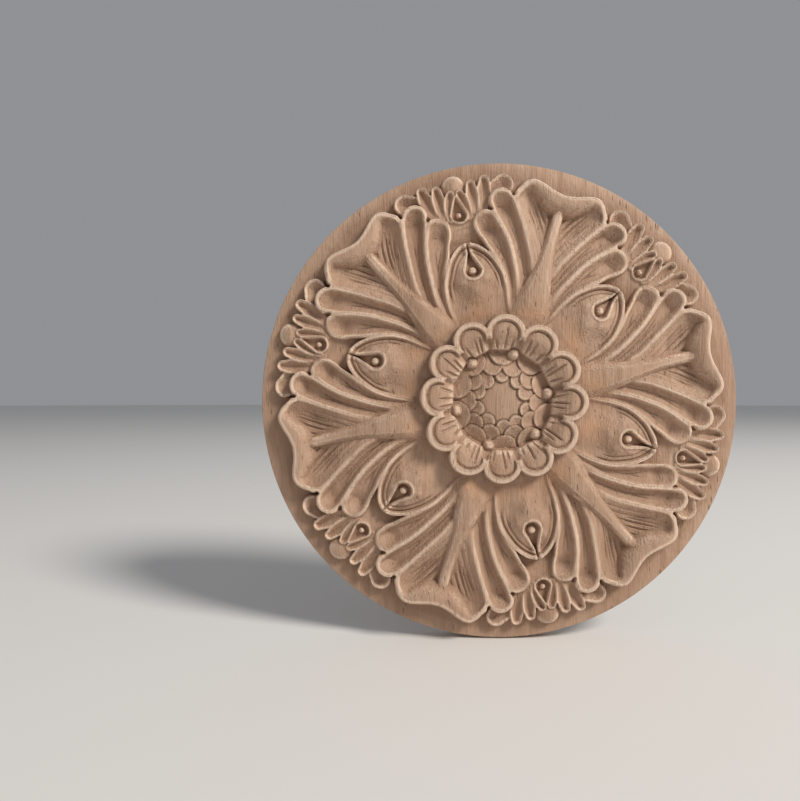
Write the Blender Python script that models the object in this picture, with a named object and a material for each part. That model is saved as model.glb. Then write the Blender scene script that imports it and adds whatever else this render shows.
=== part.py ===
"""Carved wooden rosette: a round wall ornament of one block of wood, with six acanthus leaves,
six buds and a twelve-petalled flower cut into its front.

The flat back lies in the plane Y = 0 with its centre at the origin, and the carving faces -Y, with +Z up.
The carving is a height above the plain border, worked out for one half leaf and repeated round the disc.
All sizes below are in millimetres.
"""
import bisect
import math

import bmesh
import bpy
import numpy as np

MM = 0.001

# the turned blank
DISC_RADIUS = 100.0
BORDER_THICKNESS = 8.0
RIM_SIDES = 120
BORDER_INNER_RADIUS = 96.5

# the net that is carved, and the number of triangles kept of it
NET_STEP = 0.6
NET_CUTS = 5
NET_FINE_RADIUS = 12.0
TRIANGLES_KEPT = 8800

# the pattern: six leaves, the first one 12.7 degrees above the horizontal
LEAF_COUNT = 6
FIRST_LEAF_ANGLE = 12.7
WALL = 1.0

# outline of half a leaf, across and along from its middle line, in three runs that meet in notches
LEAF_OUTLINE = [
    [
        (-3.0, 90.0), (0.0, 90.0), (4.0, 90.7), (8.0, 92.1), (12.0, 93.1), (15.0, 92.8), (17.5, 91.2),
        (19.3, 88.9), (20.4, 86.0), (20.8, 84.4), (20.7, 83.0),
    ],
    [
        (20.7, 83.0), (21.7, 84.0), (23.4, 84.6), (26.0, 84.6), (28.8, 83.0), (30.4, 80.0), (30.4, 77.4),
        (29.4, 75.7), (28.0, 74.6),
    ],
    [
        (28.0, 74.6), (29.5, 74.6), (31.5, 73.6), (33.4, 71.5), (34.2, 68.5), (33.2, 65.4), (30.8, 62.8),
        (28.0, 60.8),
    ],
    [(20.0, 52.0), (5.0, 50.0), (-3.0, 50.0)],
]

# the three channels of half a leaf: the crest that bounds each one, the way it runs, its depth on that way,
# and the fall of its wall from the crest
INNER_CHANNEL = {
    "crest": [
        (3.2, 54.6), (4.2, 56.6), (6.2, 60.6), (9.6, 66.7), (14.5, 74.5), (18.0, 80.2), (19.2, 84.0),
        (18.0, 88.0), (13.0, 91.0),
    ],
    "close": [(-9.0, 91.0), (-9.0, 54.6)],
    "toward": (0.0, 1.0),
    "depth": [(54, 0.5), (60, 1.5), (68, 2.5), (73, 3.1), (78, 3.6)],
    "wall": [(0, 0.0), (1.0, 0.24), (4.0, 0.76), (8.0, 1.0)],
}
MIDDLE_CHANNEL = {
    "crest": [
        (4.7, 54.8), (6.7, 59.8), (10.2, 65.8), (15.2, 73.8), (19.2, 79.4), (21.3, 82.0), (23.4, 83.1),
        (26.2, 82.8), (28.4, 81.0), (28.7, 78.0), (27.0, 75.0), (24.0, 71.8), (20.0, 67.6), (16.0, 62.6),
        (12.4, 56.8), (9.4, 51.3), (6.9, 45.3),
    ],
    "close": [(4.4, 46.0), (3.0, 52.0)],
    "toward": (0.25, 0.97),
    "depth": [(46, 1.3), (53, 2.1), (60, 2.5), (69, 2.7), (77, 3.0), (80.8, 3.6), (86.8, 0.4)],
    "wall": [(0, 0.0), (0.3, 0.08), (1.9, 0.84), (2.6, 0.95), (4.2, 1.0)],
}
OUTER_CHANNEL = {
    "crest": [
        (7.6, 45.2), (10.0, 50.9), (13.0, 56.2), (16.6, 62.0), (20.6, 66.9), (24.6, 70.7), (27.3, 72.8),
        (30.0, 72.7), (32.0, 70.8), (32.5, 68.0), (31.0, 65.0), (27.9, 61.8), (24.0, 58.4), (19.6, 55.2),
        (14.7, 50.2), (11.7, 45.0), (10.2, 41.0), (9.4, 37.0),
    ],
    "close": [(7.0, 36.5), (6.0, 41.0)],
    "toward": (0.6, 0.8),
    "depth": [(35, 1.2), (43, 1.8), (50, 2.4), (57, 2.7), (65.5, 2.9), (69.4, 3.6), (75.6, 0.4)],
    "wall": [(0, 0.0), (0.3, 0.08), (2.0, 0.80), (2.9, 0.93), (5.0, 1.0)],
}
LEAF_ROOT_RADIUS = 57.5
LEAF_CREST = [
    (36, 7.2), (45, 7.6), (55, 7.9), (62, 7.85), (66, 7.6), (71, 7.1), (75, 6.7), (79, 6.5), (84, 6.7),
    (90, 6.9),
]
# the outer channel's end hangs lower: by how much, where from along the disc, and how far across it fades
LEAF_SAG = 0.9
LEAF_SAG_FROM, LEAF_SAG_FULL = 60.0, 70.0
LEAF_SAG_NEAR, LEAF_SAG_FAR = 6.0, 15.0

# turned-over end of the leaf: rows of across, along, level, and width of the slope inside and outside
LIP = [
    (-4.0, 87.2, 7.6, 5.0, 3.2), (0.0, 86.9, 7.7, 5.2, 3.3), (4.0, 87.4, 7.7, 4.9, 3.3),
    (8.0, 89.0, 7.5, 4.2, 3.1), (12.5, 90.5, 7.2, 3.4, 2.7), (15.5, 89.8, 7.0, 2.9, 2.6),
    (17.6, 87.4, 6.9, 2.1, 2.3), (18.7, 84.3, 6.8, 1.4, 1.9), (18.8, 81.2, 6.7, 0.9, 1.6),
]
LIP_REACH, LIP_FALL, LIP_INNER_BEND, LIP_OUTER_BEND = 1.5, 1.7, 2.8, 2.0

# midrib: rows of along and size
MIDRIB_TOP = [
    (33, 8.3), (37, 8.9), (41, 9.7), (46, 10.1), (51, 9.9), (55, 9.4), (59, 8.7), (63, 8.0), (67, 7.3),
    (72, 6.7), (78, 6.2), (82, 6.0),
]
MIDRIB_HALF_WIDTH = [
    (33, 7.3), (37, 7.0), (40.5, 6.7), (48, 5.4), (53, 4.6), (58, 3.9), (63, 3.2), (70, 2.7), (76, 2.3),
    (82, 2.0),
]
MIDRIB_DROP = [(33, 1.3), (40, 2.0), (46, 2.3), (55, 2.1), (60, 1.8), (68, 1.7), (78, 1.5), (82, 1.4)]
MIDRIB_END = 82.0
MIDRIB_FOOT = 1.3

# bud between two leaves: rows of distance from the disc's centre and size
BUD_HALF_WIDTH = [
    (29.0, 11.8), (37.3, 12.3), (43.2, 12.9), (48.7, 12.9), (52.6, 12.2), (56.5, 10.7), (59.4, 9.3),
    (62.3, 7.3), (64.8, 4.8), (66.1, 2.5), (66.7, 0.0),
]
BUD_BASE = [(33, 6.5), (39, 6.5), (43, 6.7), (46.7, 7.1), (50.6, 7.4), (55, 7.5), (58.4, 7.1), (62.3, 6.4)]
BUD_DOME = [
    (33, 0.8), (39, 1.0), (43, 1.7), (46.7, 2.2), (49.7, 2.3), (52.6, 2.1), (56.5, 1.2), (59.4, 0.4),
    (62.3, 0.0),
]
BUD_DOME_SPREAD = [(33, 0.70), (45, 0.55), (51, 0.70), (58, 0.74)]
BUD_DOME_BEND = 1.5
BUD_RIM = [(33, 7.0), (43, 7.5), (46.7, 7.9), (52.6, 8.3), (58.4, 8.0), (62.3, 7.6), (66.2, 7.3)]
BUD_RIM_INNER, BUD_RIM_OUTER = 2.3, 0.9
BUD_GROOVE_INSET, BUD_GROOVE_WIDTH, BUD_GROOVE_DEPTH = 2.4, 0.7, 0.7
BUD_GROOVE_FROM, BUD_GROOVE_FULL = 42.0, 47.0
# bulges on the bud: along, across, half length, half width and height
BUD_BULGES = [(50.2, 4.7, 1.8, 1.8, 0.9), (46.0, 0.0, 2.3, 2.6, 0.6)]
BUD_SLIT_FROM, BUD_SLIT_FULL = 59.5, 62.5
BUD_SLIT_LIPS, BUD_SLIT_LIP_PLACE, BUD_SLIT_LIP_WIDTH = 0.7, 1.3, 0.9
BUD_SLIT_DEPTH, BUD_SLIT_WIDTH = 1.3, 0.6
BUD_EYE = {
    "along": 54.2, "radius": 3.2, "tail": 8.8, "depth": 2.6,
    "ball_radius": 1.8, "ball_top": 8.2, "fall": 1.5,
}

# smaller leaf behind: rim level, then rows of across, along, half width and depth of each finger
BACK_FINGERS = [
    (3.7, [(28.6, 76.0, 3.6, 0.6), (27.4, 80.9, 4.6, 1.8), (26.2, 84.6, 4.5, 2.2), (25.6, 86.2, 3.9, 2.2)]),
    (4.4, [(30.9, 74.0, 1.2, 0.3), (31.9, 78.2, 2.2, 1.3), (33.0, 82.0, 2.5, 2.0), (33.9, 85.2, 1.8, 2.1)]),
    (4.7, [(33.4, 71.6, 1.0, 0.3), (35.6, 75.6, 2.0, 1.3), (37.4, 79.0, 2.2, 2.0), (38.8, 81.7, 1.6, 2.0)]),
    (5.0, [(35.4, 69.0, 1.0, 0.3), (37.8, 72.4, 1.6, 1.2), (40.4, 75.2, 1.8, 1.7), (41.9, 76.6, 1.3, 1.8)]),
]
BACK_FINGER_RIM = 0.65
BACK_BODY = [
    (24.6, 74.0), (28.4, 78.4), (32.5, 78.4), (36.5, 75.8), (41.0, 72.6), (46.3, 69.0), (46.3, 50.0),
    (38.0, 48.0), (28.0, 52.0), (22.0, 62.0),
]
BACK_BODY_LEVEL = [(48, 2.0), (60, 2.3), (66, 3.0), (70, 3.8), (74, 4.3)]
BACK_BODY_SLOPE = 1.4
BACK_EYE = {
    "along": 78.9, "radius": 3.1, "tail": 7.2, "depth": 2.4,
    "ball_radius": 1.25, "ball_top": 4.5, "fall": 1.1,
}
BACK_EYE_TOP, BACK_EYE_RIM = 5.2, 0.75
OUTER_BEAD_ALONG, OUTER_BEAD_RADIUS, OUTER_BEAD_TOP, OUTER_BEAD_FALL = 90.8, 5.1, 4.9, 3.4

# flower in the middle
PETAL_COUNT = 12
SCALLOP_PLACE, SCALLOP_RADIUS = 26.25, 7.5
RING_TOP, RING_FLOOR, RING_MIDDLE, RING_WIDTH, RING_WALL = 13.0, 11.3, 0.7, 1.4, 0.7
RING_SQUARENESS = 3.5
PETAL_PLACE, PETAL_RADIUS, PETAL_GAP, PETAL_INNER_END = 25.9, 6.5, 0.15, 20.4
PETAL_TOP = [(20, 8.6), (22.5, 9.9), (25, 11.1), (27.5, 12.0), (30, 12.3), (31, 12.2)]
PETAL_BED = [(20.8, 7.9), (24, 9.3), (27, 10.6), (29, 11.0)]
PETAL_FALL, PETAL_ROUNDING = 1.7, 3.0
CUSHION_TOP = [(0, 8.8), (6.0, 8.75), (9.5, 8.4), (12, 7.9), (14.5, 7.1), (17, 6.2), (20.5, 5.0)]
# rows of scales on the cushion: radius of their tips, half width, length of the slope, share of a turn
SCALE_ROWS = [(7.5, 3.1, 3.0, 0.5), (10.8, 4.3, 3.4, 0.0), (14.4, 6.0, 4.4, 0.5)]
SCALE_COUNT = 10
SCALE_STEP = 1.0
BEAD_PLACE, BEAD_RADIUS, BEAD_TOP, BEAD_FALL, BEAD_FOOT = 19.6, 2.5, 8.8, 1.8, 1.2

# bare wood
WOOD_COLOUR = (0.52, 0.34, 0.235, 1.0)
WOOD_ROUGHNESS = 0.62


def ease(value, low, high):
    """0 below low, 1 above high, smooth between them."""
    t = np.clip((value - low) / (high - low), 0, 1)
    return t * t * (3 - 2 * t)


def level(value, rows):
    """The size that the rows give at each value."""
    places, sizes = zip(*rows)
    return np.interp(value, places, sizes)


def hump(value, middle, spread):
    """A smooth bump of height 1."""
    return np.exp(-(((value - middle) / spread) ** 2))


def flow(rows, steps=4):
    """Rows joined by a smooth curve that passes through each of them."""
    points = np.array(rows, float)
    points = np.vstack([2 * points[0] - points[1], points, 2 * points[-1] - points[-2]])
    t = np.linspace(0, 1, steps, endpoint=False)[:, None]
    spans = []
    for a, b, c, d in zip(points, points[1:], points[2:], points[3:]):
        square = 2 * a - 5 * b + 4 * c - d
        cube = 3 * b - a - 3 * c + d
        spans.append(0.5 * (2 * b + (c - a) * t + square * t**2 + cube * t**3))
    return np.vstack(spans + [points[-2:-1]])


def nearest(u, v, line):
    """Distance to a line, the sizes it carries at the nearest place, and the side (negative = left)."""
    best = np.full(u.shape, np.inf)
    side = np.zeros(u.shape)
    sizes = np.zeros((line.shape[1] - 2,) + u.shape)
    for a, b in zip(line[:-1], line[1:]):
        du, dv = b[0] - a[0], b[1] - a[1]
        if du == dv == 0:
            continue
        t = np.clip(((u - a[0]) * du + (v - a[1]) * dv) / (du * du + dv * dv), 0, 1)
        off_u = u - a[0] - t * du
        off_v = v - a[1] - t * dv
        distance = np.hypot(off_u, off_v)
        near = distance < best
        best = np.where(near, distance, best)
        side = np.where(near, off_u * dv - off_v * du, side)
        for k in range(len(sizes)):
            sizes[k] = np.where(near, a[2 + k] + t * (b[2 + k] - a[2 + k]), sizes[k])
    return best, sizes, side


def within(u, v, outline):
    """Distance inside a closed outline, negative outside it."""
    ring = np.vstack([outline, outline[:1]])
    odd = np.zeros(u.shape, bool)
    for (au, av), (bu, bv) in zip(ring[:-1], ring[1:]):
        if av != bv:
            odd ^= ((av > v) != (bv > v)) & (u < (bu - au) * (v - av) / (bv - av) + au)
    distance = nearest(u, v, ring)[0]
    return np.where(odd, distance, -distance)


def lay(low, high, inside, wall=WALL):
    """Lays a higher form on a lower one, with a steep wall along its edge."""
    mask = ease(inside, -wall / 2, wall / 2)
    return low * (1 - mask) + high * mask


def outer_bead(height, t, s):
    """Ball at the edge of the disc, between two leaves."""
    ratio = np.hypot(t - OUTER_BEAD_ALONG, s) / OUTER_BEAD_RADIUS
    bow = 1 - np.sqrt(np.clip(1 - ratio**2, 0, 1))
    return lay(height, OUTER_BEAD_TOP - OUTER_BEAD_FALL * bow, OUTER_BEAD_RADIUS * (1 - ratio))


def eye_hollow(top, t, s, eye):
    """Cuts a tear-shaped hollow into a form, and sets the small ball in its round end."""
    along = t - eye["along"]
    opening = eye["radius"] * (1 - np.clip(along / eye["tail"], 0, 1))
    distance = np.hypot(np.minimum(along, 0), s)
    wall = eye["radius"] / 3
    top = top - eye["depth"] * np.clip((opening - distance) / wall, 0, 1)
    ratio = np.hypot(along, s) / eye["ball_radius"]
    return np.where(ratio < 1, np.maximum(top, eye["ball_top"] - eye["fall"] * ratio**2), top)


def back_leaf(height, u, v, t, s):
    """Smaller leaf between two leaves, with narrow fingers and a small eye on the middle line."""
    body = within(u, v, flow(BACK_BODY))
    height = lay(height, level(t, BACK_BODY_LEVEL), body, BACK_BODY_SLOPE)
    for rim, rows in BACK_FINGERS:
        distance, (half_width, depth), _ = nearest(u, v, flow(rows))
        hollow = 1 - np.clip(distance / half_width, 0, 1) ** 2
        height = lay(height, rim - depth * hollow, half_width + BACK_FINGER_RIM - distance)
    along = t - BACK_EYE["along"]
    opening = BACK_EYE["radius"] * (1 - np.clip(along / BACK_EYE["tail"], 0, 1)) + BACK_EYE_RIM
    past_end = np.minimum(along, 0) + np.maximum(along - BACK_EYE["tail"], 0)
    top = eye_hollow(np.full_like(height, BACK_EYE_TOP), t, s, BACK_EYE)
    return lay(height, top, opening - np.hypot(past_end, s))


def leaf(height, u, v, r, s):
    """Half a leaf: three channels gouged out between crests, and the turned-over end."""
    outline = np.vstack([flow(run) if len(run) > 3 else run for run in LEAF_OUTLINE])
    body = np.maximum(within(u, v, outline), LEAF_ROOT_RADIUS - r)
    hollow = np.zeros_like(height)
    for channel in (INNER_CHANNEL, MIDDLE_CHANNEL, OUTER_CHANNEL):
        inside = within(u, v, np.vstack([flow(channel["crest"]), channel["close"]]))
        along = u * channel["toward"][0] + v * channel["toward"][1]
        depth = level(along, channel["depth"]) * level(inside, channel["wall"])
        hollow = np.maximum(hollow, depth)
    sag = LEAF_SAG * (1 - ease(s, LEAF_SAG_NEAR, LEAF_SAG_FAR)) * ease(r, LEAF_SAG_FROM, LEAF_SAG_FULL)
    top = level(r, LEAF_CREST) - sag - hollow
    distance, (roll, near, far), side = nearest(u, v, flow(LIP))
    ratio = np.where(side > 0, distance / near, distance / far)
    bend = np.where(side > 0, LIP_INNER_BEND, LIP_OUTER_BEND)
    top = np.where(ratio < LIP_REACH, np.maximum(top, roll - LIP_FALL * ratio**bend), top)
    return lay(height, top, body - WALL / 2)


def bud(height, t, s):
    """Bud between two leaves: a raised rim round a dome, with an eye, bulges and a slit tip."""
    half_width = level(t, BUD_HALF_WIDTH)
    distance = nearest(t, s, flow(BUD_HALF_WIDTH))[0]
    inside = np.where((s < half_width) & (t < BUD_HALF_WIDTH[-1][0]), distance, -distance)
    ratio = s / np.maximum(half_width, WALL / 10)
    dome = np.clip(1 - (ratio / level(t, BUD_DOME_SPREAD)) ** BUD_DOME_BEND, 0, 1)
    top = level(t, BUD_BASE) + level(t, BUD_DOME) * dome
    for along, across, half_length, half_wide, rise in BUD_BULGES:
        top += rise * hump(t, along, half_length) * hump(s, across, half_wide)
    top += (level(t, BUD_RIM) - top) * (1 - ease(inside, BUD_RIM_OUTER, BUD_RIM_INNER))
    groove = hump(inside, BUD_GROOVE_INSET, BUD_GROOVE_WIDTH) * ease(t, BUD_GROOVE_FROM, BUD_GROOVE_FULL)
    slit = BUD_SLIT_LIPS * hump(s, BUD_SLIT_LIP_PLACE, BUD_SLIT_LIP_WIDTH)
    slit -= BUD_SLIT_DEPTH * hump(s, 0, BUD_SLIT_WIDTH)
    top += slit * ease(t, BUD_SLIT_FROM, BUD_SLIT_FULL) - BUD_GROOVE_DEPTH * groove
    return lay(height, eye_hollow(top, t, s, BUD_EYE), inside)


def midrib(height, u, v):
    """Rounded rib on the middle line of a leaf, from the flower to the turned-over end."""
    half_width = level(v, MIDRIB_HALF_WIDTH)
    ratio = np.minimum(u / half_width, MIDRIB_FOOT)
    top = level(v, MIDRIB_TOP) - level(v, MIDRIB_DROP) * ratio**2
    mask = ease(half_width - u, -WALL / 2, WALL / 2) * ease(MIDRIB_END - v, -WALL / 2, WALL / 2)
    return height + np.maximum(top - height, 0) * mask


def cushion(r, angle):
    """Low dome in the middle, with rows of rounded scales whose tips point inwards."""
    base = level(r, CUSHION_TOP)
    top = base
    pitch = 2 * math.pi / SCALE_COUNT
    for tip, half_width, slope, turn in SCALE_ROWS:
        own = (angle / pitch - turn + 0.5) % 1 - 0.5
        across = np.abs(r * np.sin(own * pitch))
        past = r * np.cos(own * pitch) - tip - half_width
        inside = np.where(past < 0, half_width - np.hypot(across, past), half_width - across)
        row = base + SCALE_STEP * (1 - np.clip(inside / slope, 0, 1))
        top = lay(top, row, np.maximum(inside, past), WALL / 2)
    return top


def flower(height, r, angle, u, v):
    """Scalloped ring, a petal in each scallop, and a scaly cushion with six beads round it."""
    half_pitch = math.pi / PETAL_COUNT
    own = (angle - half_pitch) % (2 * half_pitch) - half_pitch
    across = np.abs(r * np.sin(own))
    along = r * np.cos(own)
    inside = SCALLOP_RADIUS - np.hypot(across, along - SCALLOP_PLACE)
    from_next = along * math.sin(half_pitch) - across * math.cos(half_pitch) - PETAL_GAP
    round_end = PETAL_RADIUS - np.hypot(across, along - PETAL_PLACE)
    petal = np.where(along > PETAL_PLACE, round_end, np.minimum(PETAL_RADIUS - across, from_next))
    face = level(r, PETAL_TOP) - PETAL_FALL * (1 - np.clip(petal / PETAL_ROUNDING, 0, 1)) ** 2
    top = lay(level(r, PETAL_BED), face, petal, WALL / 2)
    band = np.clip(1 - np.abs((inside - RING_MIDDLE) / RING_WIDTH) ** RING_SQUARENESS, 0, 1)
    band *= ease(along, SCALLOP_PLACE - 2 * RING_WIDTH, SCALLOP_PLACE)
    ring = RING_FLOOR + (RING_TOP - RING_FLOOR) * np.sqrt(band)
    top = np.where(band > 0, np.maximum(top, ring), top)
    top = lay(cushion(r, angle), top, along - PETAL_INNER_END)
    ratio = np.hypot(u, v - BEAD_PLACE) / BEAD_RADIUS
    ball = BEAD_TOP - BEAD_FALL * np.minimum(ratio, BEAD_FOOT) ** 2
    top = lay(top, ball, (1 - ratio) * BEAD_RADIUS, WALL / 2)
    return lay(height, top, np.maximum(inside, SCALLOP_PLACE - r) + RING_WALL)


def carving(x, z):
    """Height of the carving above the border, anywhere on the disc."""
    pitch = 2 * math.pi / LEAF_COUNT
    turned = np.arctan2(z, x) - math.radians(FIRST_LEAF_ANGLE)
    angle = np.abs((turned + pitch / 2) % pitch - pitch / 2)
    r = np.hypot(x, z)
    u, v = r * np.sin(angle), r * np.cos(angle)
    t, s = r * np.cos(pitch / 2 - angle), np.abs(r * np.sin(pitch / 2 - angle))
    height = outer_bead(np.zeros_like(r), t, s)
    height = back_leaf(height, u, v, t, s)
    height = leaf(height, u, v, r, s)
    height = bud(height, t, s)
    height = midrib(height, u, v)
    return flower(height, r, turned, u, v)


def turned_blank():
    """The round blank, spun from its half profile, with a fine net over the part that is carved."""
    bm = bmesh.new()
    radii = list(np.arange(0, BORDER_INNER_RADIUS, NET_STEP)) + [BORDER_INNER_RADIUS, DISC_RADIUS]
    profile = [bm.verts.new((r * MM, -BORDER_THICKNESS * MM, 0)) for r in radii]
    profile.append(bm.verts.new((DISC_RADIUS * MM, 0, 0)))
    edges = [bm.edges.new(pair) for pair in zip(profile, profile[1:])]
    bmesh.ops.spin(
        bm, geom=profile + edges, cent=(0, 0, 0), axis=(0, 1, 0),
        angle=2 * math.pi, steps=RIM_SIDES, use_merge=True
    )
    bmesh.ops.remove_doubles(bm, verts=bm.verts, dist=NET_STEP * MM / 60)
    bmesh.ops.edgeloop_fill(bm, edges=[e for e in bm.edges if e.is_boundary])

    def ring_of(vert):
        return math.hypot(vert.co.x, vert.co.z) / MM

    crosswise = []
    for edge in bm.edges:
        first, second = (ring_of(vert) for vert in edge.verts)
        on_front = all(vert.co.y < -BORDER_THICKNESS * MM / 2 for vert in edge.verts)
        carved = NET_FINE_RADIUS < first < BORDER_INNER_RADIUS - NET_STEP / 2
        if on_front and carved and abs(first - second) < NET_STEP / 10:
            crosswise.append(edge)
    bmesh.ops.subdivide_edges(bm, edges=crosswise, cuts=NET_CUTS, use_grid_fill=True)

    # the new points lie on chords, so each goes out to its own ring
    for vert in bm.verts:
        r = ring_of(vert)
        if NET_FINE_RADIUS / 2 < r < BORDER_INNER_RADIUS - NET_STEP / 4 and vert.co.y < 0:
            ring = radii[min(bisect.bisect_left(radii, r - NET_STEP / 6000), len(radii) - 1)]
            vert.co.x *= ring / r
            vert.co.z *= ring / r
    return bm


def carve(bm):
    """Raises the net to the height of the carving, and gives the indices of the points it moves."""
    reach = BORDER_INNER_RADIUS - NET_STEP / 6
    front = [vert for vert in bm.verts if vert.co.y < 0 and math.hypot(vert.co.x, vert.co.z) < reach * MM]
    x = np.array([vert.co.x for vert in front]) / MM
    z = np.array([vert.co.z for vert in front]) / MM
    for vert, height in zip(front, carving(x, z)):
        vert.co.y = -(BORDER_THICKNESS + float(height)) * MM
    bm.verts.index_update()
    return [vert.index for vert in front]


def wood():
    """Bare, sanded hardwood."""
    material = bpy.data.materials.new("bare_wood")
    material.use_nodes = True
    shader = material.node_tree.nodes["Principled BSDF"]
    shader.inputs["Base Color"].default_value = WOOD_COLOUR
    shader.inputs["Roughness"].default_value = WOOD_ROUGHNESS
    shader.inputs["Metallic"].default_value = 0.0
    return material


def rosette():
    """The whole ornament, one closed solid."""
    bm = turned_blank()
    carved = carve(bm)
    bmesh.ops.triangulate(bm, faces=[face for face in bm.faces if len(face.verts) < RIM_SIDES])
    bmesh.ops.recalc_face_normals(bm, faces=bm.faces)
    mesh = bpy.data.meshes.new("rosette")
    bm.to_mesh(mesh)
    bm.free()
    mesh.materials.append(wood())
    piece = bpy.data.objects.new("rosette", mesh)
    bpy.context.scene.collection.objects.link(piece)

    # only the carved net is thinned, so that the rim and the back stay true
    group = piece.vertex_groups.new(name="carved")
    group.add(carved, 1.0, "REPLACE")
    thin = piece.modifiers.new("thin the net", "DECIMATE")
    thin.ratio = TRIANGLES_KEPT / sum(len(face.vertices) - 2 for face in mesh.polygons)
    thin.vertex_group = group.name
    thin.use_collapse_triangulate = True


def main():
    for old in list(bpy.data.objects):
        bpy.data.objects.remove(old)
    rosette()


main()
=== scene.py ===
import math

import bmesh
import bpy
import numpy as np
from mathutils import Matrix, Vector


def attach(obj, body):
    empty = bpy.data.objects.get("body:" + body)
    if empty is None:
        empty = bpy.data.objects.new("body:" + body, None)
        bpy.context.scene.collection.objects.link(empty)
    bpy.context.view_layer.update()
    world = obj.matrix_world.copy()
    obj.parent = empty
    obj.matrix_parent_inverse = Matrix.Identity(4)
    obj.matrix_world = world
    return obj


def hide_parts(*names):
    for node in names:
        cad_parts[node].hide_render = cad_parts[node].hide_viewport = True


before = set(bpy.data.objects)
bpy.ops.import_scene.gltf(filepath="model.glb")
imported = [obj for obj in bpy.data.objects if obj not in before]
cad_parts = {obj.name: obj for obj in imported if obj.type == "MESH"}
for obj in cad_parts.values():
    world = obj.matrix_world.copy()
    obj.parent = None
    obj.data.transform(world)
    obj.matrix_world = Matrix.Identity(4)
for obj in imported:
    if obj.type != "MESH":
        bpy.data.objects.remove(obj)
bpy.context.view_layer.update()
print("frame loaded")

# The relief is worked out in millimetres and put into metres on the mesh.
millimetre = 0.001
leafPitch = 60.0
firstLeaf = 12.7


def ease(value, low, high):
    t = np.clip((value-low)/(high-low), 0, 1)
    return t*t*(3-2*t)


def hump(value, middle, spread):
    return np.exp(-((value-middle)/spread)**2)


def flow(stations, steps=5):
    # a smooth line through the stations, whatever each station carries
    p = np.array(stations, float)
    p = np.vstack([2*p[0]-p[1], p, 2*p[-1]-p[-2]])
    t = np.linspace(0, 1, steps, endpoint=False)[:, None]
    spans = [0.5*(2*b+(c-a)*t+(2*a-5*b+4*c-d)*t**2+(3*b-a-3*c+d)*t**3)
             for a, b, c, d in zip(p, p[1:], p[2:], p[3:])]
    return np.vstack(spans+[p[-2:-1]])


def level(value, table):
    places, heights = flow(table, 6).T
    return np.interp(value, places, heights)


def nearest(u, v, line):
    # distance to the line, what the line carries there, and the side it is on
    best = np.full(u.shape, 1e9)
    sizes = np.zeros(u.shape+(line.shape[1]-2,))
    side = np.zeros(u.shape)
    for a, b in zip(line[:-1], line[1:]):
        du, dv = b[0]-a[0], b[1]-a[1]
        if du == dv == 0:
            continue
        t = np.clip(((u-a[0])*du+(v-a[1])*dv)/(du*du+dv*dv), 0, 1)
        pu, pv = u-a[0]-t*du, v-a[1]-t*dv
        d = np.hypot(pu, pv)
        near = d < best
        best = np.where(near, d, best)
        side = np.where(near, pu*dv-pv*du, side)
        sizes = np.where(near[..., None], a[2:]+t[..., None]*(b[2:]-a[2:]), sizes)
    return best, np.moveaxis(sizes, -1, 0), side


def within(u, v, outline):
    # distance in from a closed outline, below nought outside it
    ring = np.vstack([outline, outline[:1]])
    d = nearest(u, v, ring)[0]
    odd = np.zeros(u.shape, bool)
    for (au, av), (bu, bv) in zip(ring[:-1], ring[1:]):
        if av != bv:
            odd ^= ((av > v) != (bv > v)) & (u < (bu-au)*(v-av)/(bv-av)+au)
    return np.where(odd, d, -d)


def lay(low, high, inside, wall=0.9):
    # a higher form set on a lower one, with a steep wall round its outline
    m = ease(inside, -wall/2, wall/2)
    return low*(1-m)+high*m


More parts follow.
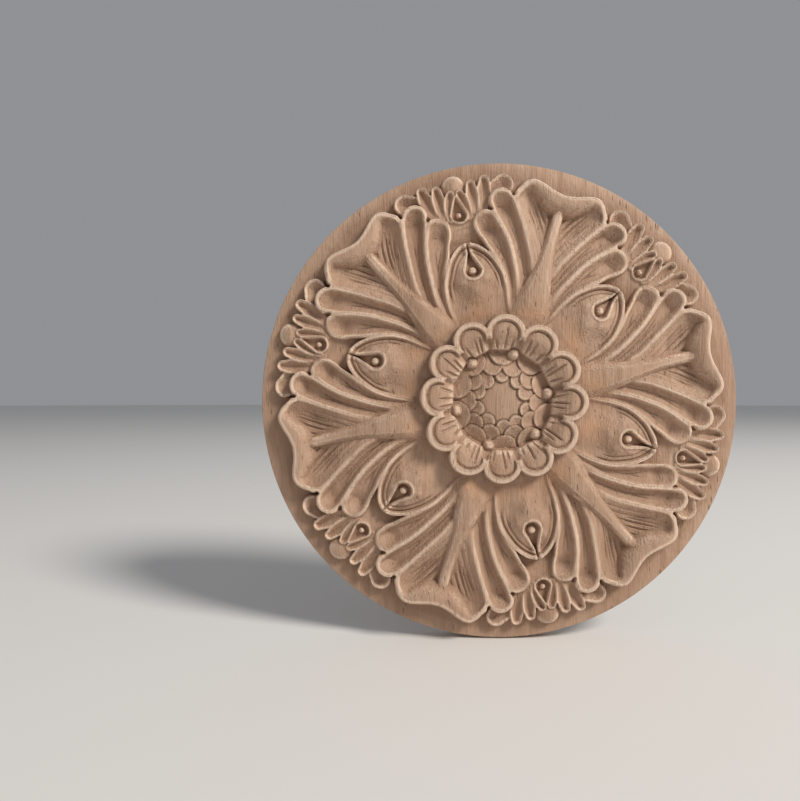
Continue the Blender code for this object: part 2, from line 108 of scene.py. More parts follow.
# One half leaf, across and along its middle line: the foot of its outline, the crests that bound each channel
# gouged in it, how deep the channel is along the leaf, and how its wall falls from the crest.
leafForm = {
    "outline": np.vstack([
        flow([(-3, 90.0), (0, 90.0), (4, 90.7), (8, 92.1), (12, 93.1), (15, 92.8), (17.5, 91.2), (19.3, 88.9),
              (20.4, 86.0), (20.8, 84.4), (20.7, 83.0)]),
        flow([(20.7, 83.0), (21.7, 84.0), (23.4, 84.6), (26.0, 84.6), (28.8, 83.0), (30.4, 80.0),
              (30.4, 77.4), (29.4, 75.7), (28.0, 74.6)]),
        flow([(28.0, 74.6), (29.5, 74.6), (31.5, 73.6), (33.4, 71.5), (34.2, 68.5), (33.2, 65.4),
              (30.8, 62.8), (28.0, 60.8)]),
        [(20, 52), (5, 50), (-3, 50)]]),
    "channels": {
        "inner": {
            "edge": np.vstack([
                flow([(3.2, 54.6), (4.2, 56.6), (6.2, 60.6), (9.6, 66.7), (14.5, 74.5), (18.0, 80.2),
                      (19.2, 84.0), (18.0, 88.0), (13.0, 91.0)]),
                [(-9, 91), (-9, 54.6)]]),
            "toward": (0, 1),
            "depth": [(54, .5), (60, 1.5), (68, 2.5), (73, 3.1), (78, 3.6), (91, 3.5)],
            "cup": 80,
            "wall": [(0, 0), (1.0, .24), (4.0, .76), (8, 1), (30, 1)],
            "lines": [(2.2, .22), (4.4, .26), (6.6, .22)],
        },
        "middle": {
            "edge": np.vstack([
                flow([(4.7, 54.8), (6.7, 59.8), (10.2, 65.8), (15.2, 73.8), (19.2, 79.4), (21.3, 82.0),
                      (23.4, 83.1), (26.2, 82.8), (28.4, 81.0), (28.7, 78.0), (27.0, 75.0), (24.0, 71.8),
                      (20.0, 67.6), (16.0, 62.6), (12.4, 56.8), (9.4, 51.3), (6.9, 45.3)]),
                [(4.4, 46), (3.0, 52)]]),
            "toward": (.25, .97),
            "depth": [(46, 1.3), (53, 2.1), (60, 2.5), (69, 2.7), (77, 3.0), (80.8, 3.6), (86.8, .4)],
            "cup": 77,
            "wall": [(0, 0), (.3, .08), (1.9, .84), (2.6, .95), (4.2, 1), (30, 1)],
            "lines": [(1.5, .32), (3.0, .42), (4.5, .26)],
        },
        "outer": {
            "edge": np.vstack([
                flow([(7.6, 45.2), (10.0, 50.9), (13.0, 56.2), (16.6, 62.0), (20.6, 66.9), (24.6, 70.7),
                      (27.3, 72.8), (30.0, 72.7), (32.0, 70.8), (32.5, 68.0), (31.0, 65.0), (27.9, 61.8),
                      (24.0, 58.4), (19.6, 55.2), (14.7, 50.2), (11.7, 45.0), (10.2, 41.0), (9.4, 37.0)]),
                [(7.0, 36.5), (6.0, 41)]]),
            "toward": (.6, .8),
            "depth": [(35, 1.2), (43, 1.8), (50, 2.4), (57, 2.7), (65.5, 2.9), (69.4, 3.6), (75.6, .4)],
            "cup": 66,
            "wall": [(0, 0), (.3, .08), (2.0, .80), (2.9, .93), (5.0, 1), (30, 1)],
            "lines": [(1.6, .36), (3.2, .46), (4.8, .3)],
        },
    },
    # across, along, level, and width of the slope on the inside and on the outside
    "lip": flow([(-4, 87.2, 7.6, 5.0, 3.2), (0, 86.9, 7.7, 5.2, 3.3), (4, 87.4, 7.7, 4.9, 3.3),
                 (8, 89.0, 7.5, 4.2, 3.1), (12.5, 90.5, 7.2, 3.4, 2.7), (15.5, 89.8, 7.0, 2.9, 2.6),
                 (17.6, 87.4, 6.9, 2.1, 2.3), (18.7, 84.3, 6.8, 1.4, 1.9), (18.8, 81.2, 6.7, .9, 1.6)]),
    "crest": [(36, 7.2), (45, 7.6), (55, 7.9), (62, 7.85), (66, 7.6), (71, 7.1), (75, 6.7), (79, 6.5),
              (84, 6.7), (90, 6.9)],
    "root": 57.5,
    "sag": .9, "sagAcross": (6, 15), "sagAlong": (60, 70),
    "lineWidth": .27, "linesFrom": (44, 52), "linesFade": 7,
    "lipDrop": 1.7, "lipCurve": (2.8, 2.0),
    # width of the leaf's outer wall, along its sides and at its end, and the rounding of its edge
    "wall": (.9, 2.0), "wallGrows": (84, 88), "edgeDrop": .25, "edgeWidth": .7,
    "veins": [flow([(2.6, 77.2, 0), (3.3, 79.0, .7), (4.8, 81.6, .8), (6.6, 83.8, .4)]),
              flow([(3.3, 73.2, 0), (4.4, 75.6, .8), (6.9, 79.8, .9), (10.2, 84.4, .3)]),
              flow([(3.7, 69.6, 0), (5.5, 73.2, .8), (8.5, 78.2, .9), (11.9, 83.4, .3)]),
              flow([(5.5, 69.8, 0), (7.3, 73.4, .6), (10.2, 78.2, .6), (13.4, 83.2, .2)]),
              flow([(7.6, 71.0, 0), (9.4, 74.2, .5), (11.6, 77.4, .5), (13.8, 80.4, 0)])],
    "veinWidth": .75,
}


def leaf(h, u, v, r, s):
    form = leafForm
    body = np.maximum(within(u, v, form["outline"]), form["root"]-r)
    trough = np.zeros_like(h)
    for channel in form["channels"].values():
        inside = within(u, v, channel["edge"])
        along = u*channel["toward"][0]+v*channel["toward"][1]
        deep = np.interp(along, *zip(*channel["depth"]))*np.interp(inside, *zip(*channel["wall"]))
        for place, cut in channel["lines"]:
            reach = ease(r, *form["linesFrom"])*ease(channel["cup"]-along, 0, form["linesFade"])
            deep = deep+cut*hump(inside, place, form["lineWidth"])*reach
        trough = np.maximum(trough, np.where(inside > 0, deep, 0))
    for line in form["veins"]:
        d, (cut,), _ = nearest(u, v, line)
        trough = trough+cut*np.clip(1-d/form["veinWidth"], 0, 1)
    sag = form["sag"]*(1-ease(s, *form["sagAcross"]))*ease(r, *form["sagAlong"])
    top = level(r, form["crest"])-sag-trough
    d, (roll, near, far), side = nearest(u, v, form["lip"])
    x = np.where(side > 0, d/near, d/far)
    curled = roll-form["lipDrop"]*x**np.where(side > 0, *form["lipCurve"])
    top = np.where(x < 1.5, np.maximum(top, curled), top)
    narrow, wide = form["wall"]
    wall = narrow+(wide-narrow)*ease(v, *form["wallGrows"])
    top = top-form["edgeDrop"]*(1-ease(body-wall, 0, form["edgeWidth"]))
    return lay(h, top, body-wall/2, wall)


midribForm = {
    "top": [(33, 8.3), (37, 8.9), (41, 9.7), (46, 10.1), (51, 9.9), (55, 9.4), (59, 8.7), (63, 8.0),
            (67, 7.3), (72, 6.7), (78, 6.2), (82, 6.0)],
    "half": [(33, 7.3), (37, 7.0), (40.5, 6.7), (48, 5.4), (53, 4.6), (58, 3.9), (63, 3.2), (70, 2.7),
             (76, 2.4), (82, 2.3)],
    "drop": [(33, 1.3), (40, 2.0), (46, 2.3), (55, 2.1), (60, 1.8), (68, 1.7), (78, 1.5), (82, 1.4)],
    "flat": [(33, .60), (48, .56), (58, .48), (68, .40), (82, .35)],
    "crown": .45,
    "sideWall": .8, "end": 82.0, "endWall": .7,
}


def midrib(h, u, v):
    form = midribForm
    half = level(v, form["half"])
    q = np.clip(u/half, 0, 1.3)
    flat = level(v, form["flat"])
    slope = np.clip((q-flat)/(1-flat), 0, 1.3)
    top = level(v, form["top"])-level(v, form["drop"])*(form["crown"]*q*q+(1-form["crown"])*slope)
    side, end = form["sideWall"]/2, form["endWall"]/2
    m = ease(half-u, -side, side)*ease(form["end"]-v, -end, end)
    return np.where(top > h, h+(top-h)*m, h)


# One bud, along and across the middle line between two leaves.
budForm = {
    "half": [(29, 11.8), (37.3, 12.3), (43.2, 12.9), (48.7, 12.9), (52.6, 12.2), (56.5, 10.7), (59.4, 9.3),
             (62.3, 7.3), (64.8, 4.8), (66.1, 2.5), (66.7, 0)],
    "base": [(33, 6.5), (39, 6.5), (43, 6.7), (46.7, 7.1), (50.6, 7.4), (55, 7.5), (58.4, 7.1),
             (62.3, 6.4), (65.3, 6.4)],
    "rise": [(33, .8), (39, 1.0), (43, 1.7), (46.7, 2.2), (49.7, 2.3), (52.6, 2.1), (56.5, 1.2),
             (59.4, .4), (62.3, 0)],
    "spread": [(33, .70), (45, .55), (51, .70), (58, .74)],
    "rim": [(33, 7.0), (43, 7.5), (46.7, 7.9), (52.6, 8.3), (58.4, 8.0), (62.3, 7.6), (66.2, 7.3)],
    "rimWidth": (.9, 2.3),
    # each groove's distance from the edge, its depth and its half width
    "grooves": [(2.2, .85, .63), (3.9, .6, .54)], "groovesFrom": 40,
    "slitFrom": (60, 62.5), "slitDepth": 1.3, "slitWidth": .45, "slitLip": (.7, 1.2, .8),
    # along, across, length, width and height
    "bulges": [(50.2, 4.9, 2.2, 2.2, .6), (46.0, 0, 2.8, 3.2, .5), (57.0, 4.6, 2.8, 1.2, .35)],
    "eye": 54.2, "eyeSize": 3.2, "eyeTail": 8.8, "eyeDepth": 2.8, "ball": 1.8, "ballTop": 8.2,
}


def bud(h, t, s):
    form = budForm
    d = nearest(t, s, flow(form["half"], 3))[0]
    half = level(t, form["half"])
    inside = np.where((s < half) & (t < form["half"][-1][0]), d, -d)
    n = np.clip(s/np.maximum(half, .1), 0, 1)
    top = level(t, form["base"])+level(t, form["rise"])*np.clip(1-(n/level(t, form["spread"]))**1.5, 0, 1)
    for along, across, length, width, rise in form["bulges"]:
        top += rise*hump(t, along, length)*hump(s, across, width)
    top += (level(t, form["rim"])-top)*(1-ease(inside, *form["rimWidth"]))
    for place, cut, width in form["grooves"]:
        start = form["groovesFrom"]+1.2*place
        top -= cut*np.clip(1-np.abs(inside-place)/width, 0, 1)*ease(t, start, start+5)*(s > 1)
    lip, beside, width = form["slitLip"]
    slit = lip*hump(s, beside, width)-form["slitDepth"]*np.clip(1-s/form["slitWidth"], 0, 1)
    top += slit*ease(t, *form["slitFrom"])
    tail = np.clip((t-form["eye"])/form["eyeTail"], 0, 1)
    opening = form["eyeSize"]*(1-tail)**1.1+.15
    d = np.hypot(np.minimum(t-form["eye"], 0), s)
    near = (t < form["eye"]+form["eyeTail"]+.9)
    top += .35*hump(d-opening, .5, .5)*near
    top -= form["eyeDepth"]*np.clip((opening*1.04-d)/(opening*.36), 0, 1)*near
    ball = np.hypot(t-form["eye"], s)/form["ball"]
    dome = form["ballTop"]-1.7*(1-np.sqrt(np.clip(1-.96*ball**2, 0, 1)))
    top = np.where(ball < 1, np.maximum(top, dome), top)
    return lay(h, top, inside, .6)


# The small leaf behind: level of each finger's rim, then its trough: across, along, half width and depth.
backForm = {
    "fingers": [
        (3.7, flow([(28.6, 76.0, 3.6, .6), (27.4, 80.9, 4.6, 1.8),
                    (26.2, 84.6, 4.5, 2.2), (25.6, 86.2, 3.9, 2.2)])),
        (4.4, flow([(30.9, 74.0, 1.2, .3), (31.9, 78.2, 2.2, 1.3),
                    (33.0, 82.0, 2.5, 2.0), (33.9, 85.2, 1.8, 2.1)])),
        (4.7, flow([(33.4, 71.6, 1.0, .3), (35.6, 75.6, 2.0, 1.3),
                    (37.4, 79.0, 2.2, 2.0), (38.8, 81.7, 1.6, 2.0)])),
        (5.0, flow([(35.4, 69.0, 1.0, .3), (37.8, 72.4, 1.6, 1.2),
                    (40.4, 75.2, 1.8, 1.7), (41.9, 76.6, 1.3, 1.8)]))],
    "body": flow([(24.6, 74), (28.4, 78.4), (32.5, 78.4), (36.5, 75.8), (41.0, 72.6), (46.3, 69), (46.3, 50),
                  (38, 48), (28, 52), (22, 62)], 4),
    "bodyWall": 1.4,
    "floor": [(48, 2.0), (60, 2.3), (66, 3.0), (70, 3.8), (74, 4.3), (80, 4.3)],
    "rim": .65,
    "eye": 78.9, "eyeSize": 3.1, "eyeTail": 7.2, "eyeTop": 5.2, "cup": 2.7, "ball": 1.25, "ballTop": 4.5,
    "bead": 90.8, "beadRadius": 5.1, "beadTop": 4.6,
}


def backLeaf(h, u, v, t, s):
    form = backForm
    d = np.hypot(t-form["bead"], s)
    top = form["beadTop"]-3.4*(1-np.sqrt(np.clip(1-.92*(d/form["beadRadius"])**2, 0, 1)))
    h = lay(h, top, form["beadRadius"]-d, .8)
    h = lay(h, level(t, form["floor"]), within(u, v, form["body"]), form["bodyWall"])
    for rim, line in form["fingers"]:
        d, (half, depth), _ = nearest(u, v, line)
        edge = half+form["rim"]-d
        top = rim-depth*(1-np.clip(d/half, 0, 1)**1.6)-.25*(1-ease(edge, 0, .4))
        h = lay(h, top, edge, .6)
    along = t-form["eye"]
    tail = np.clip(along/form["eyeTail"], 0, 1)
    d = np.hypot(np.minimum(along, 0)+np.maximum(along-form["eyeTail"], 0), s)
    size = form["eyeSize"]*(1-tail)**.8+.75
    top = form["eyeTop"]-form["cup"]*np.clip((size-.75-d)/.9+.2, 0, 1)
    ball = np.hypot(along, s)/form["ball"]
    top = np.where(ball < 1, np.maximum(top, form["ballTop"]-1.1*ball**2), top)
    return lay(h, top, size-d, .5)


def spray(r, a):
    # everything outside the flower, for an angle of 0 to 30 degrees from a leaf's middle line
    u, v = r*np.sin(a), r*np.cos(a)
    t, s = r*np.cos(a-math.pi/6), r*np.abs(np.sin(math.pi/6-a))
    h = backLeaf(np.zeros_like(r), u, v, t, s)
    h = leaf(h, u, v, r, s)
    h = bud(h, t, s)
    return midrib(h, u, v)


flowerForm = {
    "scallop": 26.25, "scallopRadius": 7.5, "ringTop": 12.85, "ringFloor": 11.3, "ringWidth": 1.4,
    "petal": 25.9, "petalRadius": 6.5, "petalFlare": .03, "petalEnd": 20.4,
    "petalTop": [(20, 8.6), (22.5, 9.9), (25, 11.1), (27.5, 12.0), (30, 12.3), (31, 12.2)],
    "petalBed": [(20.8, 7.9), (24, 9.3), (27, 10.6), (29, 11.0)],
    "cushion": [(0, 8.8), (6.0, 8.75), (9.5, 8.4), (12, 7.9), (14.5, 7.1), (17, 6.2), (20.5, 5.0)],
    "bead": 19.6, "beadRadius": 2.5, "beadTop": 8.8,
    "beadTurns": [-3.8, 2.6, -3.4, -.4, 0, 2.0],
    "scaleRows": [(7.5, 3.1, 3.0, .5), (10.8, 4.3, 3.4, 0), (14.4, 6.0, 4.4, .5)],
    "scaleCount": 10,
    "scaleStep": 1.0,
    "hub": 27, "ringRim": .7,
    # the petals' grooves: how far apart, how deep, how wide and how far out
    "grooveApart": .14, "grooveDepth": .75, "grooveWidth": .020, "grooveReach": 28.6,
}


def petals(r, p, q):
    # q is a number of its own for each petal, which its grooves follow
    form = flowerForm
    px, py = np.abs(r*np.sin(p)), r*np.cos(p)
    end = form["scallopRadius"]-np.hypot(px, py-form["scallop"])
    side = py*math.sin(math.pi/12)-px*math.cos(math.pi/12)
    straight = np.minimum(form["petalRadius"]+form["petalFlare"]*(form["petal"]-py)-px, side-.15)
    petal = np.where(py > form["petal"], form["petalRadius"]-np.hypot(px, py-form["petal"]), straight)
    fill = np.clip(petal/3.0, 0, 1)
    face = level(r, form["petalTop"])-1.7*(1-fill)**2
    fan = r*np.sin(p)/(py-3.0)
    for k in range(3):
        place = (k-1)*form["grooveApart"]+.03*np.sin(5*q+2.3*k)
        far = form["grooveReach"]+1.4*np.sin(3*q+1.9*k)-20*abs(place)
        reach = ease(petal, .1, 1.2)*(1-ease(r, far-1.5, far+.8))
        depth = form["grooveDepth"]+.2*np.sin(7*q+3*k)
        face -= depth*hump(fan-.02*(r-24)/5*np.sign(place), place, form["grooveWidth"])*reach
    top = lay(level(r, form["petalBed"]), face, petal, .4)
    band = np.clip(1-np.abs((end-form["ringRim"])/form["ringWidth"])**3.5, 0, 1)
    fade = ease(py, form["scallop"]-2.6, form["scallop"]-.2)
    wall = form["ringFloor"]+(form["ringTop"]-form["ringFloor"])*np.sqrt(band)*fade
    top = np.where((band > 0) & (py > form["scallop"]-2.0), np.maximum(top, wall), top)
    return top, py-form["petalEnd"], end


def scales(r, angle):
    # rounded scales in rows that point to the middle, each row lying over the one inside it
    form = flowerForm
    base = level(r, form["cushion"])
    top = base
    turn = 2*math.pi/form["scaleCount"]
    for tip, size, width, shift in form["scaleRows"]:
        k = np.round(angle/turn-shift)
        middle = (k+shift)*turn+.05*np.sin(4.1*k+tip)
        place = tip+size+.3*np.sin(2.7*k+3*tip)
        du, dv = r*np.sin(angle-middle), r*np.cos(angle-middle)-place
        grown = size*(1+.06*np.sin(1.7*k+tip))
        inside = np.where(dv < 0, grown-np.hypot(du, dv), grown-np.abs(du))
        inside = np.maximum(inside, dv-size*.2)
        row = base+form["scaleStep"]*(1-np.clip(inside/width, 0, 1))-.1*hump(inside, 0, .3)
        top = lay(top-.35*hump(inside, -.25, .25), row, inside, .25)
    return top


def flower(h, r, angle):
    form = flowerForm
    k = np.floor((np.degrees(angle)-firstLeaf)/30)
    p = (angle-math.radians(firstLeaf+15)+math.pi/12) % (math.pi/6)-math.pi/12
    top, inside, end = petals(r, p, k)
    top = lay(scales(r, angle), top, inside, .8)
    sector = (np.round((np.degrees(angle)-firstLeaf)/leafPitch) % 6).astype(int)
    turn = np.radians(np.array(form["beadTurns"])[sector])
    own = (angle-math.radians(firstLeaf)-turn+math.pi/6) % (math.pi/3)-math.pi/6
    d = np.hypot(r*np.sin(own), r*np.cos(own)-form["bead"])/form["beadRadius"]
    top = lay(top, form["beadTop"]-1.8*np.minimum(d, 1.2)**2, (1-d)*form["beadRadius"], .5)
    return lay(h, top, np.maximum(end, form["hub"]-r)+form["ringRim"])


# The carved face: a net over the disc, raised by the relief.
disc = {
    "radius": 99.98,
    "border": 8.0,
    "flowerReach": 40,
    "edge": 0.25,
    "netSide": 700,
    "rimStep": 4,
    "sectorStep": 0.13,
    "sectorTurn": 260,
    "kept": 195000,
    "sway": 0.35,
    "heave": 0.10,
    "gridSide": 512,
    # the crest and hollow grids steer a painted highlight on ridges and painted shade in creases and hollows
    "standing": {"crest": (.15, .85), "hollow": (.5, 3.5)},
}


def sampleSector(r, a, table, step, turn):
    # the height between the points of the sector's table
    i = np.clip(r/step, 0, table.shape[0]-1.001)
    j = np.clip(a/(math.pi/6)*turn, 0, table.shape[1]-1.001)
    i0, j0 = i.astype(int), j.astype(int)
    fi, fj = i-i0, j-j0
    near = table[i0, j0]*(1-fj)+table[i0, j0+1]*fj
    far = table[i0+1, j0]*(1-fj)+table[i0+1, j0+1]*fj
    return near*(1-fi)+far*fi


def handDrift(x, z):
    # no two leaves cut by hand are quite alike: small slow shifts of the pattern
    sway = disc["sway"]
    dx = sway*(np.sin(x/13.1+z/17.3+.4)+.6*np.sin(z/7.7-x/11.9+2.1))
    dz = sway*(np.sin(z/12.3-x/15.7+1.7)+.6*np.sin(x/8.3+z/10.1+.9))
    dh = disc["heave"]*(np.sin(x/9.1+1.3)*np.sin(z/10.7+.5)+.5*np.sin(x/4.3-z/5.1))
    return dx, dz, dh


def carveHeights(x, z):
    sector = disc["sectorTurn"]
    rings = int(disc["radius"]/disc["sectorStep"])+3
    places, turns = np.arange(rings)*disc["sectorStep"], np.linspace(0, math.pi/6, sector+1)
    r, a = np.meshgrid(places, turns, indexing="ij")
    table = spray(r, a)
    dx, dz, dh = handDrift(x, z)
    xs, zs = x+dx, z+dz
    r = np.hypot(xs, zs)
    angle = np.arctan2(zs, xs)
    a = np.radians(np.abs((np.degrees(angle)-firstLeaf+30) % leafPitch-30))
    h = sampleSector(r, a, table, disc["sectorStep"], sector)
    inner = r < disc["flowerReach"]
    h[inner] = flower(h[inner], r[inner], angle[inner])
    return h+dh*ease(h, .3, 2)


def discNet():
    # a square grid drawn out to a disc, so that its meshes stay even
    net = bmesh.new()
    bmesh.ops.create_grid(net, x_segments=disc["netSide"], y_segments=disc["netSide"], size=1)
    mesh = bpy.data.meshes.new("carved_face")
    net.to_mesh(mesh)
    net.free()
    co = np.zeros(len(mesh.vertices)*3, np.float32)
    mesh.vertices.foreach_get("co", co)
    co = co.reshape(-1, 3).astype(float)
    gx, gy = co[:, 0], co[:, 1]
    wide = np.abs(gx) > np.abs(gy)
    with np.errstate(divide="ignore", invalid="ignore"):
        turn = np.where(wide, math.pi/4*gy/gx, math.pi/2-math.pi/4*gx/gy)
    turn = np.nan_to_num(turn)
    reach = np.where(wide, gx, gy)*(disc["radius"]-disc["edge"])
    return mesh, reach*np.cos(turn), reach*np.sin(turn)


def carvedFace():
    mesh, x, z = discNet()
    h = carveHeights(x, z)
    y = -(disc["border"]+h)
    mesh.vertices.foreach_set("co", (np.stack([x, y, z], 1)*millimetre).astype(np.float32).ravel())
    face = bpy.data.objects.new("face", mesh)
    bpy.context.scene.collection.objects.link(face)
    rim = face.vertex_groups.new(name="loose")
    inside = np.hypot(x, z) < disc["radius"]-disc["edge"]-.01
    rim.add(np.nonzero(inside)[0].tolist(), 1.0, "REPLACE")
    thin = face.modifiers.new("thin", "DECIMATE")
    thin.ratio = disc["kept"]/(2*len(mesh.polygons))
    thin.vertex_group = "loose"
    thin.use_collapse_triangulate = True
    bpy.context.view_layer.update()
    thinned = bpy.data.meshes.new_from_object(face.evaluated_get(bpy.context.evaluated_depsgraph_get()))
    bpy.data.objects.remove(face)
    return thinned, standing(x, z, h)


def standing(x, z, h):
    # how far each place stands above or lies below its surroundings, near and wide, on a square grid
    size = disc["gridSide"]
    i, j = ((np.array([x, z])/(2*disc["radius"])+.5)*size).astype(int).clip(0, size-1)
    total, count = np.zeros((size, size)), np.zeros((size, size))
    np.add.at(total, (i, j), h)
    np.add.at(count, (i, j), 1)
    wave = np.fft.fftfreq(size)*size/(2*disc["radius"])
    far = (wave[:, None]**2+wave[None, :]**2)*2*math.pi**2

    def blurred(spread):
        keep = np.exp(-far*spread**2)
        heights, counts = (np.fft.ifft2(np.fft.fft2(grid)*keep).real for grid in (total, count))
        return heights/np.maximum(counts, 1e-3)

    return {name: blurred(near)-blurred(wide) for name, (near, wide) in disc["standing"].items()}


def closeDisc(net):
    # the turned rim and the flat back, on every few of the points round the edge
    low = disc["radius"]-disc["edge"]
    edge = [vert for vert in net.verts if vert.is_boundary]
    edge.sort(key=lambda vert: math.atan2(vert.co.z, vert.co.x))
    step = disc["rimStep"]
    kept = {k: edge[k//step*step] for k in range(len(edge))}
    bmesh.ops.weld_verts(net, targetmap={edge[k]: kept[k] for k in kept if edge[k] is not kept[k]})
    bands = [(disc["radius"]-.07, disc["border"]-.07), (disc["radius"], disc["border"]-disc["edge"]),
             (disc["radius"], disc["edge"]), (low, 0)]
    for radius, depth in bands:
        edges = [e for e in net.edges if e.is_boundary]
        grown = bmesh.ops.extrude_edge_only(net, edges=edges)["geom"]
        for vert in (g for g in grown if isinstance(g, bmesh.types.BMVert)):
            out = Vector((vert.co.x, 0, vert.co.z)).normalized()*radius*millimetre
            vert.co = (out.x, -depth*millimetre, out.z)
    back = bmesh.ops.contextual_create(net, geom=[e for e in net.edges if e.is_boundary])["faces"]
    bmesh.ops.recalc_face_normals(net, faces=net.faces)
    for f in net.faces:
        f.smooth = f not in back


def shadeByForm(mesh, grids):
    # the grids' values at each point of the face, which steer the painted highlights on crests and the
    # painted shade in hollows and creases
    co = np.zeros(len(mesh.vertices)*3, np.float32)
    mesh.vertices.foreach_get("co", co)
    co = co.reshape(-1, 3)/millimetre
    front = (co[:, 1] < -disc["border"]+.5) & (np.hypot(co[:, 0], co[:, 2]) < disc["radius"]-1)
    place = (co[:, [0, 2]]/(2*disc["radius"])+.5)*disc["gridSide"]-.5
    place = place.clip(0, disc["gridSide"]-1.001)
    i, j = place.astype(int).T
    fi, fj = (place-place.astype(int)).T
    for name, grid in grids.items():
        near = grid[i, j]*(1-fj)+grid[i, j+1]*fj
        far = grid[i+1, j]*(1-fj)+grid[i+1, j+1]*fj
        values = np.where(front, near*(1-fi)+far*fi, 0).astype(np.float32)
        mesh.attributes.new(name, "FLOAT", "POINT").data.foreach_set("value", values)


def shaderNodes(material):
    material.use_nodes = True
    tree = material.node_tree
    tree.nodes.clear()
    output = tree.nodes.new("ShaderNodeOutputMaterial")
    shader = tree.nodes.new("ShaderNodeBsdfPrincipled")
    tree.links.new(shader.outputs[0], output.inputs[0])

    def node(kind, settings=None, **inputs):
        made = tree.nodes.new("ShaderNode"+kind)
        for name, value in (settings or {}).items():
            setattr(made, name, value)
        for name, value in inputs.items():
            name = name.replace("_", " ")
            numbered = name[0] == "i" and name[1:].isdigit()
            socket = made.inputs[int(name[1:]) if numbered else name]
            if isinstance(value, bpy.types.NodeSocket):
                tree.links.new(value, socket)
            else:
                socket.default_value = value
        return made

    return tree, shader, node


def ramp(node, value, stops):
    made = node("ValToRGB", Fac=value)
    bar = made.color_ramp
    while len(bar.elements) < len(stops):
        bar.elements.new(.5)
    for element, (place, colour) in zip(bar.elements, stops):
        element.position = place
        element.color = (*colour, 1)
    return made.outputs[0]


wood = {
    # crest: a lighter colour laid on ridges, partly the sanded edge wood and mostly a painted highlight
    "crest": (.84, .64, .49),
    "pale": (.54, .366, .258),
    "mid": (.47, .306, .211),
    "dark": (.36, .219, .143),
    # hollow: a darker colour laid in creases and hollows, painted shade
    "hollow": (.30, .175, .110),
    "pore": (.22, .125, .080),
    # amber: a warm colour laid round the flower, painted bounced light
    "amberBounce": (.60, .31, .15),
    "roughness": .62,
    # how often each pattern repeats in a metre, across, through and along the grain
    "figure": (38, 60, 5),
    "lines": (420, 420, 16),
    "fine": (1500, 1500, 120),
    "pores": (900, 900, 150),
    "poreClumps": (300, 300, 60),
    "amberPatches": (60, 60, 60),
    "stipple": (1300, 1300, 1300),
    "toolMarks": (260, 260, 180),
    # in metres: radii where the flower ends and where the amber beside it starts and fades out,
    # and the depth at which the carved surface begins
    "flowerEdge": (.0335, .0355),
    "amberStart": (.0335, .036),
    "amberFade": (.046, .036),
    "carvedFrom": (-.0084, -.0096),
    "bumpDepth": .00036,
}


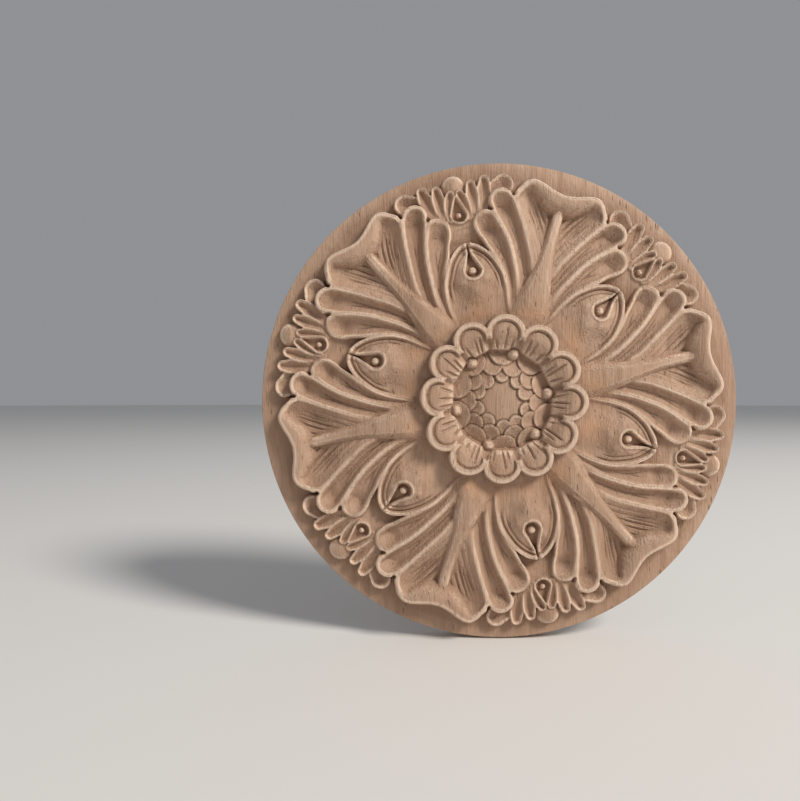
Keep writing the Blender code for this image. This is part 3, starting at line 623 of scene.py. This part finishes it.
def woodMaterial():
    material = bpy.data.materials.new("bare_wood")
    tree, shader, node = shaderNodes(material)
    place = node("TexCoord").outputs["Object"]

    def stretched(scale):
        return node("Mapping", Vector=place, Scale=scale).outputs[0]

    def blend(low, high, factor):
        made = node("Mix", {"data_type": "RGBA"})
        for socket, value in ((made.inputs[0], factor), (made.inputs[6], low), (made.inputs[7], high)):
            if isinstance(value, bpy.types.NodeSocket):
                tree.links.new(value, socket)
            else:
                socket.default_value = value
        return made.outputs[2]

    def between(value, low, high, out=(0, 1)):
        made = node("MapRange", Value=value)
        made.inputs["From Min"].default_value = low
        made.inputs["From Max"].default_value = high
        made.inputs["To Min"].default_value = out[0]
        made.inputs["To Max"].default_value = out[1]
        return made.outputs[0]

    def times(one, other):
        return node("Math", {"operation": "MULTIPLY"}, i0=one, i1=other).outputs[0]

    def noise(pattern, detail=2.0, roughness=.5):
        spot = stretched(wood[pattern])
        return node("TexNoise", Vector=spot, Scale=1.0, Detail=detail, Roughness=roughness).outputs[0]

    # grain: broad figure, long lines, fine fibres and dark pores
    broad = noise("figure", 3.0)
    lines = noise("lines", roughness=.6)
    fine = noise("fine", roughness=.6)
    colour = ramp(node, broad, [(.3, wood["dark"]), (.5, wood["mid"]), (.72, wood["pale"])])
    dark = (*wood["dark"], 1)
    colour = blend(colour, dark, between(lines, .5, .7, (0, .75)))
    colour = blend(colour, dark, between(fine, .48, .72, (0, .55)))
    pores = node("TexVoronoi", {"feature": "F1"}, Vector=stretched(wood["pores"]), Scale=1.0)
    speck = between(pores.outputs["Distance"], .10, .24, (1, 0))
    speck = times(speck, between(noise("poreClumps"), .52, .62))
    colour = blend(colour, (*wood["pore"], 1), between(speck, 0, 1, (0, .8)))

    # amber patches in the carving round the flower, a warm tint painted as light bounced into the deep spots
    # beside the ring
    out = node("VectorMath", {"operation": "LENGTH"}, i0=stretched((1, 0, 1))).outputs["Value"]
    depth = node("SeparateXYZ", Vector=place).outputs["Y"]
    carved = between(depth, *wood["carvedFrom"])
    amberBounce = times(between(out, *wood["amberFade"]), between(noise("amberPatches"), .45, .62, (0, .5)))
    amberBounce = times(times(amberBounce, between(out, *wood["amberStart"])), carved)
    colour = blend(colour, (*wood["amberBounce"], 1), amberBounce)

    crest = node("Attribute", {"attribute_name": "crest"}).outputs["Fac"]
    hollow = node("Attribute", {"attribute_name": "hollow"}).outputs["Fac"]
    # painted highlight on the crests, partly the lighter sanded edges, a little weaker on the flower's ring
    # and cushion; painted shade in the hollows, left off on the flower
    pale = times(between(crest, .09, .38, (0, .70)), between(out, *wood["flowerEdge"], (.8, 1)))
    low = times(between(hollow, -.10, -1.25, (0, .40)), between(out, *wood["flowerEdge"]))
    colour = blend(colour, (*wood["crest"], 1), pale)
    # painted shade: creases that lie a little below their near surroundings take the hollow colour
    colour = blend(colour, (*wood["hollow"], 1), between(crest, -.06, -.45, (0, .45)))
    colour = blend(colour, (*wood["hollow"], 1), low)

    # end grain, cut across its fibres, is rougher and darker
    facing = node("SeparateXYZ", Vector=node("TexCoord").outputs["Normal"]).outputs["Z"]
    across = node("Math", {"operation": "ABSOLUTE"}, i0=facing).outputs[0]
    across = times(between(across, .05, .45), carved)
    stipple = noise("stipple")
    grit = times(across, between(stipple, .5, .66, (0, .55)))
    colour = blend(colour, dark, grit)
    tree.links.new(colour, shader.inputs["Base Color"])

    gloss = between(lines, .3, .8, (wood["roughness"]-.06, wood["roughness"]+.08))
    tree.links.new(gloss, shader.inputs["Roughness"])
    shader.inputs["Specular IOR Level"].default_value = .32
    height = node("Math", {"operation": "MULTIPLY_ADD"}, i0=speck, i1=-1.0, i2=fine).outputs[0]
    tool = noise("toolMarks", 3.0, .55)
    height = node("Math", {"operation": "MULTIPLY_ADD"}, i0=tool, i1=1.6, i2=height).outputs[0]
    rough = times(across, stipple)
    height = node("Math", {"operation": "MULTIPLY_ADD"}, i0=rough, i1=1.5, i2=height).outputs[0]
    bump = node("Bump", Height=height, Strength=.9, Distance=wood["bumpDepth"])
    tree.links.new(bump.outputs[0], shader.inputs["Normal"])
    return material


def rosette():
    mesh, grids = carvedFace()
    print("face carved:", len(mesh.polygons), "faces")
    net = bmesh.new()
    net.from_mesh(mesh)
    closeDisc(net)
    net.to_mesh(mesh)
    net.free()
    mesh.name = "carved_rosette"
    shadeByForm(mesh, grids)
    mesh.materials.append(woodMaterial())
    piece = bpy.data.objects.new("carved_rosette", mesh)
    bpy.context.scene.collection.objects.link(piece)
    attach(piece, "root")
    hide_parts("rosette")
    mesh.calc_loop_triangles()
    print("rosette built:", len(mesh.loop_triangles), "triangles")


studio = {
    "floor": (.80, .79, .77),
    "floorRadius": 14.0,
    "floorDrop": 100.6,
    "world": (.93, .95, 1.0),
    "worldStrength": .30,
    "keyColour": (1.0, .955, .89),
    "keyTurn": 47.0,
    "keyLift": 31.0,
    "keyAway": 2.8,
    "keySize": .85,
    "keyPower": 71.0,
    "lens": 27.7,
    "cameraPlace": (-.0418, -.268, -.0001),
}


def studioStage():
    # a wide, plain, pale floor just under the rim
    net = bmesh.new()
    bmesh.ops.create_circle(net, cap_ends=True, segments=96, radius=studio["floorRadius"])
    bmesh.ops.translate(net, verts=net.verts, vec=(0, 0, -studio["floorDrop"]*millimetre))
    mesh = bpy.data.meshes.new("studio_floor")
    net.to_mesh(mesh)
    net.free()
    floor = bpy.data.objects.new("studio_floor", mesh)
    bpy.context.scene.collection.objects.link(floor)
    material = bpy.data.materials.new("floor_paper")
    shader = shaderNodes(material)[1]
    shader.inputs["Base Color"].default_value = (*studio["floor"], 1)
    shader.inputs["Roughness"].default_value = .9
    mesh.materials.append(material)


def areaLight(name, direction, away, size, power, colour):
    lamp = bpy.data.lights.new(name, "AREA")
    lamp.shape = "DISK"
    lamp.size = size
    lamp.energy = power
    lamp.color = colour
    light = bpy.data.objects.new(name, lamp)
    light.location = Vector(direction).normalized()*away
    light.rotation_euler = Vector(direction).to_track_quat("Z", "Y").to_euler()
    bpy.context.scene.collection.objects.link(light)


def lightAndCamera():
    bpy.context.scene.view_settings.view_transform = "Standard"
    turn, lift = math.radians(studio["keyTurn"]), math.radians(studio["keyLift"])
    toKey = (math.cos(lift)*math.cos(turn), -math.sin(lift), math.cos(lift)*math.sin(turn))
    areaLight("key", toKey, studio["keyAway"], studio["keySize"], studio["keyPower"], studio["keyColour"])
    world = bpy.data.worlds.new("studio")
    world.use_nodes = True
    background = world.node_tree.nodes["Background"]
    background.inputs[0].default_value = (*studio["world"], 1)
    background.inputs[1].default_value = studio["worldStrength"]
    bpy.context.scene.world = world
    lens = bpy.data.cameras.new("camera")
    lens.lens = studio["lens"]
    lens.clip_start = .01
    camera = bpy.data.objects.new("camera", lens)
    camera.location = studio["cameraPlace"]
    camera.rotation_euler = (math.pi/2, 0, 0)
    bpy.context.scene.collection.objects.link(camera)
    bpy.context.scene.camera = camera


rosette()
studioStage()
lightAndCamera()
print("stage, light and camera set")

bpy.context.view_layer.update()
